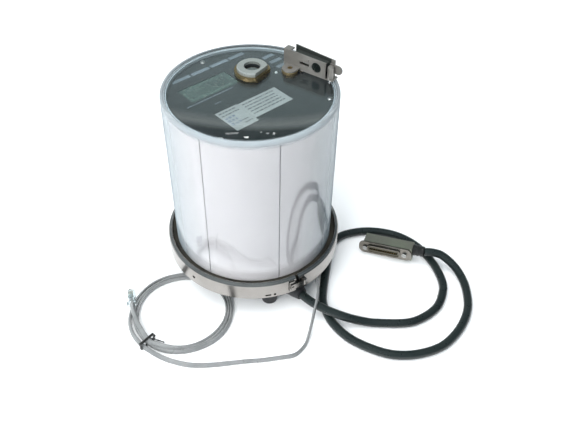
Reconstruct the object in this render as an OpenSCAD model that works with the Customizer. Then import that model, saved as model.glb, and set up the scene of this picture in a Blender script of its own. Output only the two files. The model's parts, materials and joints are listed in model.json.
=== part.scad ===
// Socket-type electricity meter lying on its back, with an optical port,
// a demand-reset lever on its clear cover, and two leads on its back.
// Millimetres, +Z out of the meter's face, +Y the top of the face.
// Z = 0 is the surface that the four feet rest on.

/* [Base] */
// Diameter of the rim that the sealing ring clamps
rim_d = 176.5; // [175:0.5:177.5]
// Height of the sealing ring's lower edge above the feet
ring_z = 28; // [27:0.5:30]
// Height of the sealing ring
ring_h = 18.6; // [18:0.2:19]

/* [Cover] */
// Outside diameter of the clear cover
cover_d = 163; // [162.4:0.2:163.4]
// Height of the cover's top face above the feet
cover_top = 214.7; // [205:0.1:225]
// Wall thickness of the cover
cover_wall = 3.2; // [2.8:0.2:3.4]
// Turn of the cover on the base, which carries the port and the lever
cover_turn = 13.4; // [0:0.2:20]

/* [Face] */
// Depth of the face plate below the cover's top face
face_depth = 8.2; // [7.8:0.2:9]
// Number of white panels round the inside of the cover
panel_count = 7; // [5:1:9]

/* [Leads] */
// Diameter of the black input and output cable
io_d = 9; // [8:0.5:9.5]
// Width of the flat telephone lead
comms_w = 5; // [4.4:0.2:5.4]
// Thickness of the flat telephone lead
comms_t = 2.4; // [2:0.2:2.4]

/* [Hidden] */
$fn = 96;
eps = 0.1;

// Base levels
floor_z = ring_z + 3;
floor_t = 5.5;
base_top = floor_z + floor_t;
rim_r = rim_d / 2;
foot_pos = [[-31, -61], [31, -61], [31, 61], [-31, 61]];
foot_r = 9;
blade_x = [-42, 0, 42];
blade_y = 44;
blade_w = 16;
blade_t = 2.4;
blade_tip_z = 5;

// Sealing ring, catch and latch
ring_r = 90.6;
ring_t = 1.2;
latch_angle = -101.5;
latch_w = 16;
latch_h = 10.5;
latch_z = ring_z + 5;
latch_pin_r = 1.1;

// Cover
cover_r = cover_d / 2;
cover_in_r = cover_r - cover_wall;
flange_z = base_top + 3.4;
flange_t = 4;
flange_r = cover_r + 3.1;

// Face and the frame behind it
face_z = cover_top - face_depth;
face_t = 2.5;
chassis_r = cover_in_r - 2.9;
chassis_t = 1.6;
panel_r = cover_in_r - 0.8;
panel_t = 1.2;
panel_gap = 1;
panel_top = cover_top - 4.6;
first_seam = -111.5;
post_pos = [[-26, 62], [26, 62], [26, -62], [-26, -62]];
register_z = face_z - 11;
power_z = base_top + 51.5;
board_t = 1.6;
board_r = 70;
ct_z = base_top + 23;
ct_r = 18.5;
lcd_x = -20.5;
lcd_y = 35;
lcd_w = 54;
lcd_h = 24;

// Optical port, in the cover's own turned frame
port_x = 23.1;
port_y = 15.1;
port_r = 14.5;
port_flat = 10.7;
port_bore_r = 7.75;
port_neck_r = 9;
port_base_h = 3;
port_ring_h = 3.8;

// Reset bracket and lever, in the cover's own turned frame
plate_x = 51.2;
plate_t = 1.2;
back_x = 59.5;
bracket_z = cover_top + 0.6;
bracket_y0 = -1;
bracket_y1 = -47;
bracket_h = 17.2;
back_rise = 2.8;
foot_x = 45.5;
foot_y = -12;
foot_plate_z = cover_top + 2.3;
bush_r = 7.8;
plunger_x = 56;
plunger_y = -17;
plunger_r = 1.5;
plunger_top = cover_top + 12.3;
pivot_y = -37;
pivot_z = cover_top + 9.3;
pivot_r = 2;
lever_x0 = 53.4;
lever_x1 = 58.7;
post_x = 54;
post_y = -51;
post_r = 3;

// Multi-pin connector, lying with its cable end held up by the cable
plug_turn = -64;
plug_tilt = 6.5;
plug_x = 87.3;
plug_y = -80.9;
hood_x0 = 2;
hood_l = 56;
hood_h = 17;
hood_y0 = 6.5;
hood_y1 = 19;
hood_wall = 1.3;
lug_l = 5;
relief_l = 12;
relief_y = 15;
relief_z = 9.4;
screw_x = [4, 48.4];

// Telephone plug
modular_x = -145.7;
modular_y = 21.8;
modular_z = 7.6;
modular_turn = 63;
modular_tilt = 11.5;
modular_w = 9.6;
modular_h = 6.6;
modular_l = 20;

// Round coil of the telephone lead
coil_x = -110.5;
coil_y = -17.6;
coil_in_r = 43.6;
coil_out_r = 52.4;
coil_h = 5.2;
coil_turns = 3;

// Route of the input and output cable, from its gland to its connector
io_route = [
  [-10, -87.9, 14], [-9.5, -98, 13.4], [-7, -112, 13.7], [-2.5, -127, 14.3], [5, -139, 12],
  [14, -148, 8], [26, -159, 4.7], [50, -180, 4.6], [70, -187, 4.6], [90, -187, 4.6],
  [107, -180, 4.6], [119, -171, 4.6], [130, -154.5, 4.6], [137.5, -136, 4.6], [141, -115, 4.6],
  [138, -94, 4.6], [130, -78, 4.6], [118, -64, 4.6], [103, -54, 4.6], [87, -48.5, 4.6],
  [70, -52, 4.6], [53, -63.5, 4.6], [36, -77, 4.6], [20, -90, 4.6], [6, -103, 4.6],
  [-2, -117, 4.6], [-7, -133, 4.6], [-7.5, -154, 4.6], [-1, -176, 4.6], [11, -197, 4.6],
  [31, -213, 4.6], [56, -222, 4.6], [85, -220, 4.6], [111, -210, 4.6], [131, -193, 4.6],
  [142, -177, 5.6], [145, -163, 9.5], [142.5, -149.5, 14.6], [136.5, -141, 17], [129.9, -134, 17]
];

// Route of the telephone lead, from its grommet to where the coil begins
comms_route = [
  [15, -73.9, 22], [13, -82, 21.9], [9, -90, 21.4], [3, -98, 20.9], [-6, -106, 20],
  [-16, -113, 16.2], [-25, -119, 10], [-34, -124.5, 4.5], [-46, -131, 1.6], [-60, -132.5, 1.3],
  [-73, -125.5, 1.3], [-88, -116, 1.3], [-101, -106.5, 1.3], [-115, -97, 1.3],
  [-128, -88, 1.3], [-140, -78, 1.3], [-149, -67, 1.3], [-156, -55, 1.3],
  [-161, -42, 1.3], [-164.5, -28, 1.3]
];

// Route of the telephone lead over the coil, from the tie to its plug
tail_route = [
  [-158, -30, 6.6], [-157, -18, 6.7], [-155, -6, 6.7], [-152.3, 5, 6.9], [-149.3, 14.7, 7.4],
  [-145.7, 21.8, 7.6], [-142.2, 28.7, 6]
];

// Unit vector along v
function unit(v) = v / norm(v);
// Direction of a route at its point i, from the points on either side
function heading(r, i) = unit(r[min(i + 1, len(r) - 1)] - r[max(i - 1, 0)]);
// One ring of an oval tube: half width a held level, half thickness b, s sides
function tube_ring(p, d, a, b, s) =
  let (side = unit(cross(d, [0, 0, 1])), up = cross(side, d))
  [for (k = [0:s - 1]) p + side * a * cos(360 * (k + 0.5) / s) + up * b * sin(360 * (k + 0.5) / s)];

// A closed tube of s sides swept along a route
module tube(route, a, b, s) {
  n = len(route);
  rings = [for (i = [0:n - 1]) each tube_ring(route[i], heading(route, i), a, b, s)];
  sides = [
    for (i = [0:n - 2]) for (k = [0:s - 1])
      [i * s + k, i * s + (k + 1) % s, (i + 1) * s + (k + 1) % s, (i + 1) * s + k]
  ];
  first = [for (k = [0:s - 1]) s - 1 - k];
  last = [for (k = [0:s - 1]) (n - 1) * s + k];
  polyhedron(rings, concat([first], sides, [last]));
}

// Parts that turn with the cover
module on_cover() {
  rotate([0, 0, cover_turn]) children();
}

// Lowest front corner of the multi-pin connector: X along it, Y to its back
module at_connector() {
  translate([plug_x, plug_y, 0]) rotate([0, 0, plug_turn]) rotate([0, -plug_tilt, 0]) children();
}

// Cord end of the telephone plug: X towards its nose
module at_plug() {
  translate([modular_x, modular_y, modular_z]) rotate([0, 0, modular_turn])
    rotate([0, modular_tilt, 0]) children();
}

// A flat box whose corners in plan are rounded
module rounded_plate(w, d, h, r) {
  linear_extrude(h) hull() {
    for (x = [-1, 1]) for (y = [-1, 1])
      translate([x * (w / 2 - r), y * (d / 2 - r)]) circle(r, $fn = 32);
  }
}

// A solid ring
module washer(r_out, r_in, h) {
  difference() {
    cylinder(h, r = r_out);
    translate([0, 0, -1]) cylinder(h + 2, r = r_in);
  }
}

// ---- Base ----

module base_moulding() {
  color([0.09, 0.09, 0.1])
  difference() {
    union() {
      rotate_extrude() polygon([
        [0, floor_z], [rim_r - 1, floor_z], [rim_r, floor_z + 1], [rim_r, floor_z + 4.6],
        [rim_r - 0.8, base_top], [chassis_r - 2.2, base_top], [chassis_r - 2.2, base_top + 6],
        [chassis_r - 4.4, base_top + 6], [chassis_r - 4.4, base_top], [0, base_top]
      ]);
      for (p = foot_pos) translate([p[0], p[1], 0]) rotate_extrude() polygon([
        [0, 0], [foot_r - 2, 0], [foot_r - 1.2, 0.8], [foot_r, floor_z + eps], [0, floor_z + eps]
      ]);
    }
    for (x = blade_x) for (y = [-1, 1]) translate([x, y * blade_y, floor_z + 5])
      cube([blade_t + 0.6, blade_w + 0.6, 30], center = true);
    translate([15, -61, floor_z - 1]) cylinder(20, r = 4);
    translate([-10, -61, floor_z - 1]) cylinder(20, r = 6);
  }
}

// One row of contact blades, at y on the back of the base
module blades(y) {
  for (x = blade_x) translate([x, y, 0]) rotate([90, 0, 90]) translate([0, 0, -blade_t / 2])
    linear_extrude(blade_t) polygon([
      [-blade_w / 2 + 2.5, blade_tip_z], [blade_w / 2 - 2.5, blade_tip_z],
      [blade_w / 2, blade_tip_z + 4], [blade_w / 2, base_top + 7],
      [-blade_w / 2, base_top + 7], [-blade_w / 2, blade_tip_z + 4]
    ]);
}

module line_blades() {
  color([0.75, 0.73, 0.7]) blades(blade_y);
}

module load_blades() {
  color([0.75, 0.73, 0.7]) blades(-blade_y);
}

module cable_outlet() {
  color([0.08, 0.08, 0.09])
  difference() {
    translate([-21, -69, 5]) cube([45, 14.5, floor_z - 5.05]);
    translate([-10, -61, 14]) rotate([90, 0, 0]) cylinder(30, r = 6.5);
    translate([-10, -61, 8]) cylinder(40, r = 6);
    translate([15, -61, 22]) rotate([90, 0, 0]) cylinder(30, r = 4.6);
    translate([15, -61, 18]) cylinder(40, r = 4);
    translate([-31, -61, -1]) cylinder(40, r = foot_r + 0.6);
    translate([31, -61, -1]) cylinder(40, r = foot_r + 0.6);
  }
}

module cover_gasket() {
  color([0.06, 0.06, 0.06])
  rotate_extrude() polygon([
    [cover_in_r - 0.3, base_top + 0.05], [flange_r + 2.2, base_top + 0.05],
    [flange_r + 2.2, flange_z + flange_t + 1.3], [flange_r + 1.4, flange_z + flange_t + 1.7],
    [cover_r + 0.4, flange_z + flange_t + 1], [cover_r + 0.4, flange_z + flange_t + 0.1],
    [flange_r + 0.2, flange_z + flange_t + 0.1], [flange_r + 0.2, flange_z - 0.1],
    [cover_in_r - 0.3, flange_z - 0.1]
  ]);
}

// ---- Cover ----

module cover() {
  round_out = 2.2;
  round_in = 2.6;
  color([0.85, 0.93, 0.95, 0.35])
  difference() {
    union() {
      translate([0, 0, flange_z]) cylinder(flange_t, r = flange_r);
      translate([0, 0, flange_z]) cylinder(cover_top - round_out - flange_z, r = cover_r);
      translate([0, 0, cover_top - round_out]) rotate_extrude() {
        intersection() {
          translate([cover_r - round_out, 0]) circle(round_out, $fn = 64);
          square([cover_r, round_out]);
        }
        square([cover_r - round_out, round_out]);
      }
    }
    translate([0, 0, flange_z - 1])
      cylinder(cover_top - cover_wall - round_in - flange_z + 1, r = cover_in_r);
    translate([0, 0, cover_top - cover_wall - round_in - eps]) rotate_extrude() {
      intersection() {
        translate([cover_in_r - round_in, eps]) circle(round_in, $fn = 64);
        square([cover_in_r, round_in + eps]);
      }
      square([cover_in_r - round_in, round_in + eps]);
    }
    on_cover() {
      translate([port_x, port_y, cover_top - 10]) cylinder(20, r = port_neck_r + 0.05);
      translate([foot_x, foot_y, cover_top - 10]) cylinder(20, r = 4.05);
      translate([plunger_x, plunger_y, cover_top - 10]) cylinder(20, r = 2.85);
      translate([post_x, post_y, cover_top - 10]) cylinder(20, r = 2.05);
    }
  }
}

// ---- Sealing ring ----

module ring_profile() {
  top = ring_z + ring_h;
  polygon([
    [85.9, top - 0.6], [86.6, top + 1.3], [87.4, top + 1.7], [88.6, top + 0.9],
    [89.8, top + 0.5], [ring_r, top - 0.6],
    [ring_r, ring_z + 0.8], [ring_r - 0.8, ring_z], [ring_r - 3.2, ring_z],
    [ring_r - 3.2, ring_z + ring_t], [ring_r - ring_t, ring_z + ring_t],
    [ring_r - ring_t, top - 1], [ring_r - ring_t - 0.6, top - 0.4], [87.4, top + 0.4], [86.7, top - 0.8]
  ]);
}

module sealing_ring() {
  color([0.78, 0.78, 0.77])
  difference() {
    rotate_extrude($fn = 180) ring_profile();
    rotate([0, 0, latch_angle]) translate([60, -1.5, ring_z - 5]) cube([60, 3, 40]);
    rotate([0, 0, -172]) translate([70, 0, ring_z + 8.5]) rotate([0, 90, 0]) cylinder(40, r = 1.8);
    rotate([0, 0, -116.7]) translate([70, 0, ring_z + 4.2]) rotate([0, 90, 0]) cylinder(40, r = 1.4);
    rotate([0, 0, -121]) translate([70, -2.9, ring_z + 3.2]) cube([40, 5.8, 2]);
  }
}

// Catch plate on one end of the ring, with the lug that the latch hooks over
module ring_catch() {
  color([0.7, 0.7, 0.69])
  rotate([0, 0, latch_angle]) {
    translate([ring_r + 0.02, -9.4, latch_z - 1]) difference() {
      cube([0.9, 6.4, latch_h + 2]);
      translate([-1, 3.2, 6.2]) rotate([0, 90, 0]) cylinder(4, r = 1.2);
    }
    for (z = [0, latch_h - 1.6]) translate([ring_r + 0.02, 5.8, latch_z + z - 0.3]) difference() {
      cube([2.9, 3.6, 1.2]);
      translate([1.5, 1.9, -1]) cylinder(4, r = latch_pin_r);
    }
  }
}

module ring_latch() {
  color([0.8, 0.8, 0.79])
  rotate([0, 0, latch_angle]) difference() {
    union() {
      translate([ring_r + 1.25, -8, latch_z + 1.5]) cube([0.9, 14.5, latch_h - 4]);
      translate([ring_r + 1.52, 7.7, latch_z + 1.5]) cylinder(latch_h - 4, r = 1.35);
    }
    translate([ring_r + 1.52, 7.7, latch_z - 2]) cylinder(30, r = latch_pin_r + 0.06);
    translate([ring_r, -6.2, latch_z + 5.2]) rotate([0, 90, 0]) cylinder(6, r = 1.2);
  }
}

module latch_pin() {
  color([0.6, 0.6, 0.6])
  rotate([0, 0, latch_angle]) translate([ring_r + 1.52, 7.7, latch_z - 0.6]) {
    cylinder(latch_h + 0.2, r = latch_pin_r);
  }
}

// ---- Inside ----

module chassis() {
  color([0.12, 0.12, 0.13])
  difference() {
    union() {
      translate([0, 0, base_top + 0.05])
        washer(chassis_r, chassis_r - chassis_t, face_z - face_t - base_top - 0.1);
      for (a = [90, 210, -46.6]) rotate([0, 0, a]) translate([chassis_r - 3.2, 0, face_z - 14.5])
        cylinder(11.9, r = 2.6);
    }
    for (a = [90, 210, -46.6]) rotate([0, 0, a]) translate([chassis_r - 3.2, 0, face_z - 12])
      cylinder(20, r = 1.05);
  }
}

module side_panels() {
  step = 360 / panel_count;
  gap_angle = panel_gap / panel_r * 180 / PI;
  color([0.95, 0.95, 0.96])
  for (i = [0:panel_count - 1]) rotate([0, 0, first_seam + i * step + gap_angle / 2])
    rotate_extrude(angle = step - gap_angle) translate([panel_r - panel_t, base_top + 0.3])
      square([panel_t, panel_top - base_top - 0.3]);
}

module face_plate() {
  color([0.2, 0.24, 0.25])
  difference() {
    union() {
      translate([0, 0, face_z - face_t]) cylinder(face_t, r = chassis_r + 0.4);
      translate([0, 0, face_z - eps]) washer(chassis_r + 0.4, chassis_r - 0.4, 1.6);
    }
    translate([lcd_x, lcd_y, face_z]) cube([lcd_w, lcd_h, 20], center = true);
    for (a = [90, 210, -46.6]) rotate([0, 0, a]) translate([chassis_r - 3.2, 0, face_z - 5])
      cylinder(10, r = 1.4);
    on_cover() for (x = [-3.6, 3.6]) translate([port_x + x, port_y, face_z - 5])
      cylinder(10, r = 1.9);
    on_cover() translate([plunger_x, plunger_y, face_z - 5]) cylinder(10, r = 3.1);
  }
}

module face_screws() {
  color([0.8, 0.8, 0.78])
  for (a = [90, 210, -46.6]) rotate([0, 0, a]) translate([chassis_r - 3.2, 0, face_z]) difference() {
    union() {
      translate([0, 0, -11]) cylinder(11.05, r = 1);
      translate([0, 0, 0.02]) rotate_extrude() polygon([[0, 0], [2.5, 0], [2.5, 0.8], [1.8, 1.5], [0, 1.6]]);
    }
    translate([-3, -0.35, 0.9]) cube([6, 0.7, 2]);
  }
}

module lcd_module() {
  color([0.42, 0.5, 0.46])
  union() {
    translate([lcd_x, lcd_y, face_z - face_t - 3]) cube([lcd_w + 4, lcd_h + 6, 5.6], center = true);
    translate([lcd_x, lcd_y, face_z - face_t]) cube([lcd_w - 0.6, lcd_h - 0.6, 3.6], center = true);
  }
}

// Two plain rating labels, one a little taller than the other
module name_label() {
  color([0.9, 0.92, 0.92]) {
    translate([-44, -35.5, face_z + 0.02]) cube([24, 31.5, 0.25]);
    translate([-19.8, -30.8, face_z + 0.02]) cube([43.8, 25.8, 0.25]);
  }
}

module label_bars() {
  color([0.62, 0.69, 0.74]) {
    intersection() {
      union() {
        for (i = [0:3]) translate([-43.5 + 22.4 * i, 58.8, face_z + 0.02]) cube([20, 4.4, 0.25]);
        for (i = [0:2]) translate([49.5, 38 - 10.4 * i, face_z + 0.02]) cube([16, 4.4, 0.25]);
      }
      cylinder(cover_top, r = chassis_r - 1.5);
    }
    translate([-48, 18.8, face_z + 0.02]) cube([40, 1.2, 0.25]);
  }
}

module reset_switch() {
  color([0.15, 0.15, 0.16])
  on_cover() translate([plunger_x, plunger_y, 0]) {
    translate([0, 0, register_z + board_t + 0.02]) cylinder(face_z - 1.7 - register_z - board_t, r = 2.7);
  }
}

module board(z) {
  difference() {
    translate([0, 0, z]) cylinder(board_t, r = board_r);
    for (p = post_pos) translate([p[0], p[1], z - 1]) cylinder(5, r = 1.7);
    for (a = [90, 210, -46.6]) rotate([0, 0, a]) translate([chassis_r - 3.2, 0, z - 1])
      cylinder(5, r = 3.4);
  }
}

module register_board() {
  color([0.1, 0.35, 0.2]) {
    board(register_z);
    for (x = [-30, 0, 30]) translate([x, -25, register_z - 3.05]) cube([14, 14, 3]);
    translate([-20, 30, register_z - 4.05]) cube([40, 8, 4]);
  }
}

module light_pipes() {
  color([0.9, 0.9, 0.95])
  on_cover() for (x = [-3.6, 3.6]) translate([port_x + x, port_y, register_z + board_t + 0.02])
    cylinder(cover_top - 2.6 - register_z - board_t, r = 1.7);
}

module power_board() {
  color([0.12, 0.38, 0.2]) {
    board(power_z);
    translate([-50, -35, power_z + board_t - eps]) cube([10, 30, 9]);
    translate([10, -50, power_z + board_t - eps]) cube([36, 8, 12]);
  }
}

module board_standoffs() {
  color([0.72, 0.72, 0.7])
  for (p = post_pos) translate([p[0], p[1], 0]) {
    translate([0, 0, base_top + 0.05]) cylinder(power_z - base_top - 0.1, r = 3);
    translate([0, 0, power_z - eps]) cylinder(board_t + 2 * eps, r = 1.6);
    translate([0, 0, power_z + board_t + 0.05]) cylinder(register_z - power_z - board_t - 0.1, r = 3);
    translate([0, 0, register_z - eps]) cylinder(board_t + 2.4, r = 1.6);
  }
}

module current_transformers() {
  color([0.25, 0.3, 0.5])
  for (x = blade_x) translate([x, 8, ct_z]) rotate([90, 0, 0]) washer(ct_r, 8.5, 16);
}

// Copper links from each line blade, through its transformer, to the load blade
module bus_bars() {
  foot_drop = ct_z - base_top - 7;
  color([0.72, 0.45, 0.28])
  for (x = blade_x) translate([x - 5, 0, 0]) {
    translate([0, -blade_y - 1.5, ct_z - 1.5]) cube([10, 2 * blade_y + 3, 3]);
    for (y = [-blade_y - 1.5, blade_y - 1.5]) translate([0, y, ct_z - foot_drop]) cube([10, 3, foot_drop]);
  }
}

module power_transformer() {
  color([0.55, 0.5, 0.35]) {
    translate([-34, 2, power_z + board_t + 0.05]) cube([44, 36, 32]);
    for (y = [-1, 38]) translate([-26, y + 0, power_z + board_t + 4]) cube([28, 4, 24]);
  }
}

module capacitors() {
  color([0.15, 0.18, 0.3])
  for (p = [[30, -12], [52, -8], [30, 12], [52, 14]])
    translate([p[0], p[1], power_z + board_t + 0.05]) rotate_extrude() polygon([
      [0, 0], [9, 0], [9, 2.4], [8.4, 3], [9, 3.6], [9, 29], [8.4, 30], [0, 30]
    ]);
}

module backup_battery() {
  color([0.6, 0.2, 0.15])
  translate([-26, -26, power_z + board_t + 7.6]) rotate([0, 90, 0]) {
    cylinder(32, r = 7.4);
    translate([0, 0, 31.9]) cylinder(1.6, r = 2.6);
  }
}

// ---- Optical port ----

// The port's outline: a round with one flat at the bottom
module port_outline(r, flat) {
  intersection() {
    circle(r);
    translate([-50, -flat]) square([100, 100]);
  }
}

module port_base() {
  color([0.78, 0.6, 0.28])
  on_cover() translate([port_x, port_y, 0]) difference() {
    union() {
      translate([0, 0, cover_top + 0.02]) linear_extrude(port_base_h - 0.02)
        port_outline(port_r + 2.4, port_flat + 2.2);
      translate([0, 0, cover_top - 6]) cylinder(7, r = port_neck_r);
    }
    translate([0, 0, cover_top - 10]) cylinder(30, r = port_bore_r - 1.3);
    translate([0, 0, cover_top + 1.4]) cylinder(30, r = port_bore_r);
  }
}

module port_ring() {
  z0 = cover_top + port_base_h + 0.02;
  bevel = 0.9;
  color([0.8, 0.8, 0.78])
  on_cover() translate([port_x, port_y, 0]) difference() {
    intersection() {
      translate([0, 0, z0]) linear_extrude(port_ring_h) port_outline(port_r, port_flat);
      translate([0, 0, z0]) rotate_extrude() polygon([
        [0, 0], [port_r, 0], [port_r, port_ring_h - bevel], [port_r - bevel, port_ring_h], [0, port_ring_h]
      ]);
    }
    translate([0, 0, z0 - 1]) cylinder(20, r = port_bore_r);
  }
}

module port_window() {
  color([0.12, 0.12, 0.13])
  on_cover() translate([port_x, port_y, cover_top - 0.2]) cylinder(1.6, r = port_bore_r - 1.32);
}

module port_nut() {
  color([0.75, 0.58, 0.3])
  on_cover() translate([port_x, port_y, cover_top - cover_wall - 2.6]) difference() {
    cylinder(2.55, r = 13.5, $fn = 6);
    translate([0, 0, -1]) cylinder(5, r = port_neck_r + 0.02);
  }
}

// ---- Demand reset ----

// Side view of the bracket's front plate, Y along it and Z up
module front_outline() {
  polygon([
    [bracket_y0, 0], [bracket_y1, 0], [bracket_y1, bracket_h - 0.6], [bracket_y0, bracket_h]
  ]);
}

// Plate of thickness plate_t standing at x, drawn from a side view
module standing(x, t) {
  translate([x, 0, bracket_z]) rotate([90, 0, 90]) linear_extrude(t) children();
}

module reset_bracket() {
  color([0.6, 0.58, 0.55])
  on_cover() difference() {
    union() {
      standing(plate_x, plate_t) front_outline();
      standing(back_x, plate_t) polygon([
        [bracket_y0 - 8, 0], [bracket_y1 - 5, 0], [bracket_y1 - 5, bracket_h],
        [bracket_y0 - 8, bracket_h + back_rise]
      ]);
      translate([plate_x, bracket_y1 - 8, bracket_z]) cube([back_x - plate_x + plate_t, 54, plate_t]);
      translate([plate_x, bracket_y0 - plate_t, bracket_z]) cube([7.3, plate_t, bracket_h]);
      translate([plate_x, bracket_y0 - 7.5, bracket_z + bracket_h - plate_t]) cube([7.3, 7.5, plate_t]);
      translate([foot_x, foot_y, foot_plate_z]) cylinder(plate_t, r = bush_r - 0.3);
      translate([foot_x, foot_y - bush_r + 0.3, foot_plate_z])
        cube([plate_x - foot_x + 0.5, 2 * bush_r - 0.6, plate_t]);
    }
    translate([0, pivot_y, pivot_z]) rotate([0, 90, 0]) cylinder(plate_x + 3, r = 5);
    translate([back_x - 1, pivot_y, pivot_z]) rotate([0, 90, 0]) cylinder(5, r = pivot_r);
    translate([0, -28.6, bracket_z + 13]) rotate([0, 90, 0]) cylinder(plate_x + 3, r = 0.7);
    translate([plate_x - 1, -29.2, bracket_z + 6.8]) cube([plate_t + 2, 10.4, 2.6]);
    translate([foot_x, foot_y, cover_top]) cylinder(10, r = 2.4);
    translate([foot_x, foot_y, cover_top]) cylinder(foot_plate_z - cover_top, r = bush_r + 0.3);
    translate([plunger_x, plunger_y, cover_top]) cylinder(10, r = 2.85);
    translate([post_x, post_y, cover_top]) cylinder(10, r = 2.05);
  }
}

module mounting_bush() {
  color([0.8, 0.66, 0.35])
  on_cover() translate([foot_x, foot_y, 0]) difference() {
    union() {
      translate([0, 0, cover_top + 0.02]) rotate_extrude() polygon([
        [0, 0], [bush_r, 0], [bush_r, 1.7], [bush_r - 0.5, 2.26], [0, 2.26]
      ]);
      translate([0, 0, cover_top - 5.9]) cylinder(6.5, r = 3.98);
      translate([0, 0, cover_top]) cylinder(3.7, r = 2.35);
    }
    translate([0, 0, cover_top - 10]) cylinder(12.5, r = 1.4);
  }
}

module bracket_post() {
  color([0.7, 0.7, 0.68])
  on_cover() translate([post_x, post_y, 0]) {
    translate([0, 0, cover_top - 2.9]) cylinder(5.4, r = 2);
    translate([0, 0, bracket_z + plate_t + 0.02]) rotate_extrude() polygon([
      [0, 0], [post_r, 0], [post_r, 11.5], [post_r - 0.8, 12.6], [0, 12.6]
    ]);
  }
}

module bracket_nut() {
  color([0.75, 0.7, 0.5])
  on_cover() translate([foot_x, foot_y, cover_top - cover_wall - 2.5]) difference() {
    cylinder(2.45, r = 7, $fn = 6);
    translate([0, 0, -1]) cylinder(5, r = 4);
  }
}

// Rocking lever between the plates, with a thumb tab past the right end
module reset_lever() {
  color([0.14, 0.15, 0.16])
  on_cover() difference() {
    union() {
      translate([lever_x0, 0, cover_top]) rotate([90, 0, 90]) linear_extrude(lever_x1 - lever_x0) polygon([
        [-13, 12.6], [-29.5, 12.6], [-33, 3.8], [-42, 3.8], [-46.6, 7], [-46.6, 15.8], [-13, 17]
      ]);
      translate([lever_x1 - 1.2, 0, cover_top]) rotate([90, 0, 90]) linear_extrude(1.2) polygon([
        [-45, 7], [-56.4, 5.7], [-56.4, 14.5], [-45, 15]
      ]);
      translate([lever_x1 - 1.2, -56.4, cover_top + 10.1]) rotate([0, 90, 0]) cylinder(1.2, r = 4.4);
    }
    translate([0, pivot_y, pivot_z]) rotate([0, 90, 0]) cylinder(80, r = pivot_r + 0.05);
  }
}

module lever_pin() {
  color([0.1, 0.11, 0.11])
  on_cover() translate([0, pivot_y, pivot_z]) rotate([0, 90, 0]) difference() {
    union() {
      translate([0, 0, plate_x + 0.4]) cylinder(1.4, r = 4.7);
      translate([0, 0, plate_x + 1]) cylinder(back_x + plate_t - plate_x - 0.6, r = pivot_r);
    }
    rotate([0, 0, 30]) translate([-6, -0.7, plate_x - 1]) cube([12, 1.4, 2]);
  }
}

module reset_plunger() {
  color([0.8, 0.66, 0.35])
  on_cover() translate([plunger_x, plunger_y, 0]) {
    translate([0, 0, plunger_top - 18.4]) cylinder(17.4, r = plunger_r);
    translate([0, 0, plunger_top - 1.4]) cylinder(1.4, r = 2.7);
  }
}

module plunger_guide() {
  color([0.78, 0.64, 0.35])
  on_cover() translate([plunger_x, plunger_y, cover_top - 4.6]) washer(2.8, plunger_r + 0.05, 9);
}

// Helical spring between the guide and the plunger's head
module plunger_spring() {
  turns = 5;
  steps = 14;
  z0 = cover_top + 4.8;
  z1 = plunger_top - 1.8;
  spring_route = [
    for (i = [0:turns * steps])
      [2.25 * cos(360 * i / steps), 2.25 * sin(360 * i / steps), z0 + (z1 - z0) * i / (turns * steps)]
  ];
  color([0.75, 0.75, 0.75])
  on_cover() translate([plunger_x, plunger_y, 0]) tube(spring_route, 0.25, 0.25, 6);
}

// ---- Input and output cable ----

module io_gland() {
  color([0.07, 0.07, 0.08])
  translate([-10, -61.5, 14]) rotate([90, 0, 0]) rotate_extrude() polygon([
    [0, 0], [6.4, 0], [6.4, 7.4], [10.4, 7.6], [10.4, 11], [9.6, 12], [8.6, 18], [6.2, 26.4], [0, 26.4]
  ]);
}

module io_cable() {
  color([0.07, 0.08, 0.08]) tube(io_route, io_d / 2, io_d / 2, 10);
}

// Long round-ended outline of the connector, in its own X and Z
module plug_outline(x0, x1, z0, z1, r) {
  hull() for (x = [x0 + r, x1 - r]) for (z = [z0 + r, z1 - r])
    translate([x, z]) circle(r, $fn = 32);
}

// One half of the hood between two heights, hollow behind its two screw lugs
module hood_half(z0, z1, inner_z0, inner_z1) {
  at_connector() difference() {
    translate([hood_x0, hood_y0, z0]) cube([hood_l - hood_x0, hood_y1 - hood_y0, z1 - z0]);
    translate([hood_x0 + lug_l, hood_y0 - 1, inner_z0])
      cube([screw_x[1] - 2.6 - hood_x0 - lug_l, hood_y1 - hood_y0 + 1 - hood_wall, inner_z1 - inner_z0]);
    translate([screw_x[1] - 3, hood_y0 + 5.6, inner_z0])
      cube([hood_l - hood_wall - screw_x[1] + 3, hood_y1 - hood_y0 - 5.6 - hood_wall, inner_z1 - inner_z0]);
    for (x = screw_x) translate([x, hood_y0 + 6, hood_h / 2]) rotate([90, 0, 0]) cylinder(10, r = 1.5);
    translate([hood_l - 3, relief_y, relief_z]) rotate([0, 90, 0]) cylinder(10, r = 3.4);
  }
}

module hood_upper() {
  color([0.52, 0.55, 0.46]) hood_half(hood_h / 2 + 0.05, hood_h, 0, hood_h - hood_wall);
}

module hood_lower() {
  color([0.5, 0.52, 0.45]) hood_half(0.2, hood_h / 2 - 0.05, 0.2 + hood_wall, hood_h);
}

module connector_flange() {
  color([0.6, 0.59, 0.56])
  at_connector() difference() {
    union() {
      translate([0, hood_y0 - 0.05, 0]) rotate([90, 0, 0]) linear_extrude(1.4)
        plug_outline(-3.2, 56, 0.5, 16.6, 6);
      translate([0, hood_y0 - 1, 0]) rotate([90, 0, 0]) linear_extrude(2.3)
        plug_outline(6.8, 43.5, 3.4, 13.6, 3);
    }
    translate([0, hood_y0 + 2, 0]) rotate([90, 0, 0]) linear_extrude(10)
      plug_outline(7.7, 42.6, 4.3, 12.7, 2.2);
    for (x = screw_x) translate([x, 10, hood_h / 2]) rotate([90, 0, 0]) cylinder(20, r = 1.55);
  }
}

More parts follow.
